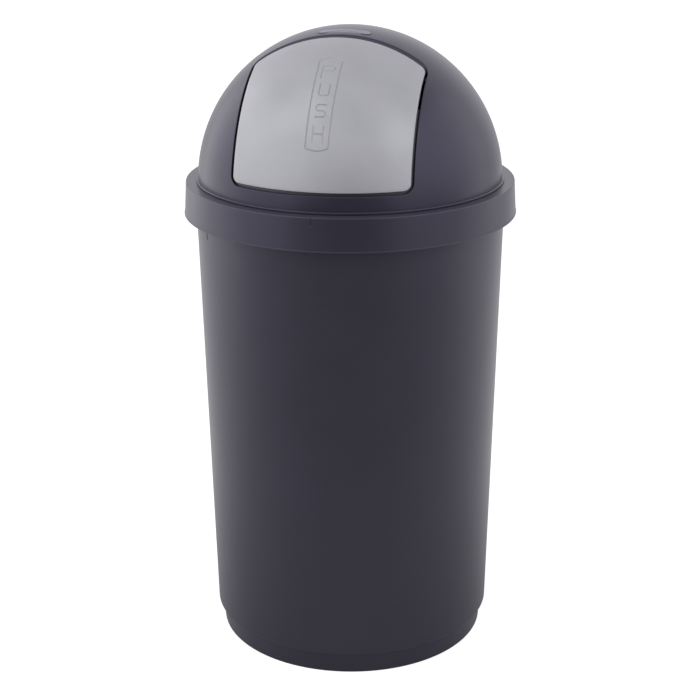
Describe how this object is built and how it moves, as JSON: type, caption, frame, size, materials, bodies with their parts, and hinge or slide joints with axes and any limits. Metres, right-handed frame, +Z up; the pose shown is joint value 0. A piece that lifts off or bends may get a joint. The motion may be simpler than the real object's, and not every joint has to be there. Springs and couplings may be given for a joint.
{
  "type": "push-flap waste bin",
  "caption": "Round tapered plastic waste bin with a collar ring, a half-ball lid and a sprung push flap that swings inwards.",
  "frame": {"origin": "middle of the footprint, on the floor", "axes": "+Z up, the push flap faces -Y, +X is right as seen from the front"},
  "size_m": [0.3846, 0.3846, 0.7361],
  "materials": {
    "body_plastic": "fine-grained moulded polypropylene, charcoal with a slight violet tint",
    "collar_plastic": "satin moulded polypropylene, charcoal",
    "dome_plastic": "satin moulded polypropylene, charcoal",
    "flap_silver": "satin silver-grey moulded plastic with a fine metal flake",
    "bracket_plastic": "black moulded plastic",
    "pin_steel": "zinc-plated steel",
    "spring_steel": "drawn spring steel",
    "screw_steel": "zinc-plated steel"
  },
  "bodies": {
    "bin": {"bucket": "body_plastic"},
    "collar": {"collar_ring": "collar_plastic"},
    "dome": {"dome_shell": "dome_plastic", "hinge_bracket_left": "bracket_plastic", "hinge_bracket_right": "bracket_plastic", "hinge_pin_left": "pin_steel", "hinge_pin_right": "pin_steel", "push_nut_left": "spring_steel", "push_nut_right": "spring_steel", "torsion_spring_left": "spring_steel", "torsion_spring_right": "spring_steel", "bracket_screw_left_front": "screw_steel", "bracket_screw_left_rear": "screw_steel", "bracket_screw_right_front": "screw_steel", "bracket_screw_right_rear": "screw_steel"},
    "flap": {"push_flap": "flap_silver"}
  },
  "joints": [
    {"name": "collar_lift", "type": "slide", "parent": "bin", "child": "collar", "axis": [0, 0, 1], "range_m": [0, 0.06]},
    {"name": "dome_lift", "type": "slide", "parent": "collar", "child": "dome", "axis": [0, 0, 1], "range_m": [0, 0.06]},
    {"name": "flap_swing", "type": "hinge", "parent": "dome", "child": "flap", "pos_m": [0, -0.03792, 0.68415], "axis": [1, 0, 0], "range_deg": [0, 70], "stiffness_Nm_per_rad": 0.08, "springref_deg": -91.67, "deforming": ["torsion_spring_left", "torsion_spring_right"]}
  ]
}
